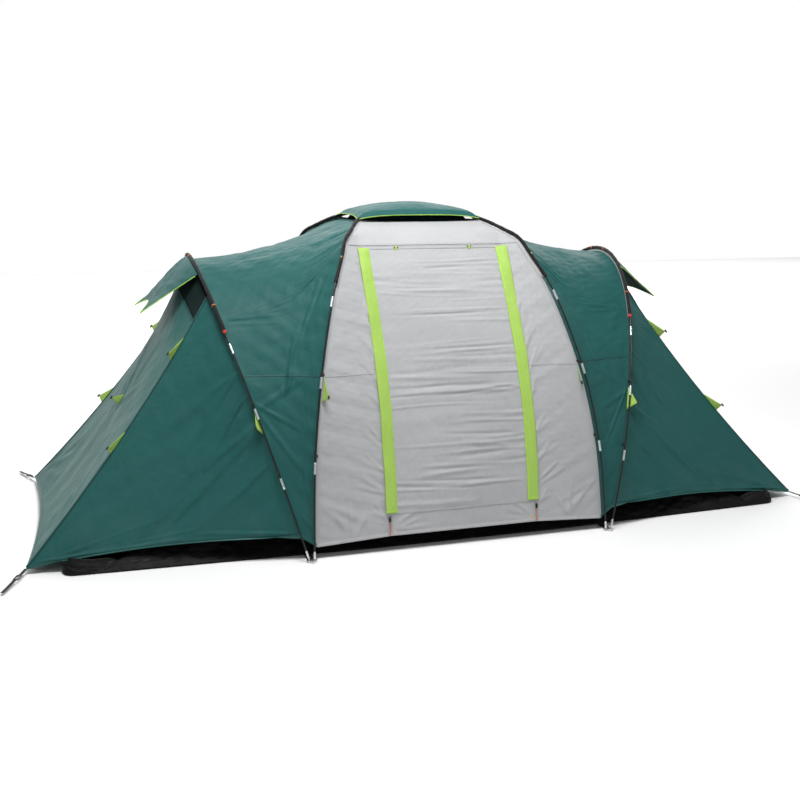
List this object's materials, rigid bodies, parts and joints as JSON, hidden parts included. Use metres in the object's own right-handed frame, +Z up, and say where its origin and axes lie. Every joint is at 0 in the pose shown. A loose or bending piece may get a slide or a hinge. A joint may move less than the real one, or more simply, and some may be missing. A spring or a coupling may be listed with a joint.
{
  "type": "dome tent",
  "caption": "Pitched tunnel-dome family tent on crossing and arched fibreglass poles, with a cabin at each end, a zipped front door and a black groundsheet.",
  "frame": {"origin": "on the ground under the crown where the cross poles meet", "axes": "+X along the tent's length, +Z up, the door faces -Y"},
  "size_m": [5.5282, 2.646, 2.111],
  "materials": {
    "groundsheet_pe": "coated black sheet, satin",
    "grey_polyester": "coated plain-weave polyester, satin",
    "green_polyester": "coated plain-weave polyester, satin",
    "pale_green_polyester": "coated plain-weave polyester, satin",
    "black_mesh": "open insect mesh",
    "lime_polyester": "coated plain-weave polyester",
    "brass": "polished",
    "grey_zip": "nylon coil",
    "black_metal": "painted",
    "orange_cord": "braided",
    "fibreglass": "satin fibreglass",
    "black_webbing": "woven",
    "steel": "brushed",
    "black_cord": "braided elastic",
    "black_plastic": "moulded",
    "cabin_cloth": "breathable polyester"
  },
  "bodies": {
    "tent": {"groundsheet": "groundsheet_pe", "front_left_wing": "grey_polyester", "front_right_wing": "grey_polyester", "front_header": "grey_polyester", "rear_wall": "grey_polyester", "rear_header": "grey_polyester", "left_front_side": "green_polyester", "right_front_side": "green_polyester", "left_rear_side": "green_polyester", "right_rear_side": "green_polyester", "left_front_hip": "green_polyester", "right_front_hip": "green_polyester", "left_rear_hip": "green_polyester", "right_rear_hip": "green_polyester", "left_end_panel": "pale_green_polyester", "right_end_panel": "pale_green_polyester", "left_vent_mesh": "black_mesh", "right_vent_mesh": "black_mesh", "left_vent_hood": "green_polyester", "right_vent_hood": "green_polyester", "hood_piping": "lime_polyester", "roof_canopy": "green_polyester", "canopy_piping": "lime_polyester", "roof_mesh": "black_mesh", "left_arch_pole": "fibreglass", "right_arch_pole": "fibreglass", "cross_pole_a": "fibreglass", "cross_pole_b": "fibreglass", "left_arch_sleeve": "black_webbing", "right_arch_sleeve": "black_webbing", "cross_sleeves_a": "black_webbing", "cross_sleeves_b": "black_webbing", "pole_ferrules": "steel", "pole_tips": "steel", "foot_rings": "steel", "foot_pins": "steel", "foot_webbing": "black_webbing", "pole_clips": "black_plastic", "guy_tabs": "lime_polyester", "guy_toggles": "black_plastic", "corner_straps": "black_webbing", "corner_buckles": "black_plastic", "corner_cords": "black_cord", "left_cabin": "cabin_cloth", "right_cabin": "cabin_cloth", "cabin_hooks": "black_plastic"},
    "front_door": {"front_door": "grey_polyester", "left_door_flap": "lime_polyester", "right_door_flap": "lime_polyester", "door_eyelets": "brass", "door_toggles": "lime_polyester", "zip_coils": "grey_zip"},
    "left_slider": {"left_zip_slider": "black_metal", "left_zip_pull": "orange_cord"},
    "right_slider": {"right_zip_slider": "black_metal", "right_zip_pull": "orange_cord"},
    "left_cabin_door": {"left_cabin_door": "cabin_cloth"},
    "right_cabin_door": {"right_cabin_door": "cabin_cloth"}
  },
  "joints": [
    {"name": "door_swing", "type": "hinge", "parent": "tent", "child": "front_door", "pos_m": [0, -0.56, 1.845], "axis": [-1, 0, 0], "range_deg": [0, 66]},
    {"name": "left_zip", "type": "hinge", "parent": "front_door", "child": "left_slider", "pos_m": [0, 2.3236, -0.295], "axis": [-1, 0, 0], "range_deg": [0, 27.5]},
    {"name": "right_zip", "type": "hinge", "parent": "front_door", "child": "right_slider", "pos_m": [0, 2.3236, -0.295], "axis": [-1, 0, 0], "range_deg": [0, 27.5]},
    {"name": "left_cabin_door_swing", "type": "hinge", "parent": "tent", "child": "left_cabin_door", "pos_m": [-1.018, 0.309, 0.12], "axis": [0, 0, 1], "range_deg": [0, 100]},
    {"name": "right_cabin_door_swing", "type": "hinge", "parent": "tent", "child": "right_cabin_door", "pos_m": [1.018, 0.309, 0.12], "axis": [0, 0, -1], "range_deg": [0, 100]}
  ]
}
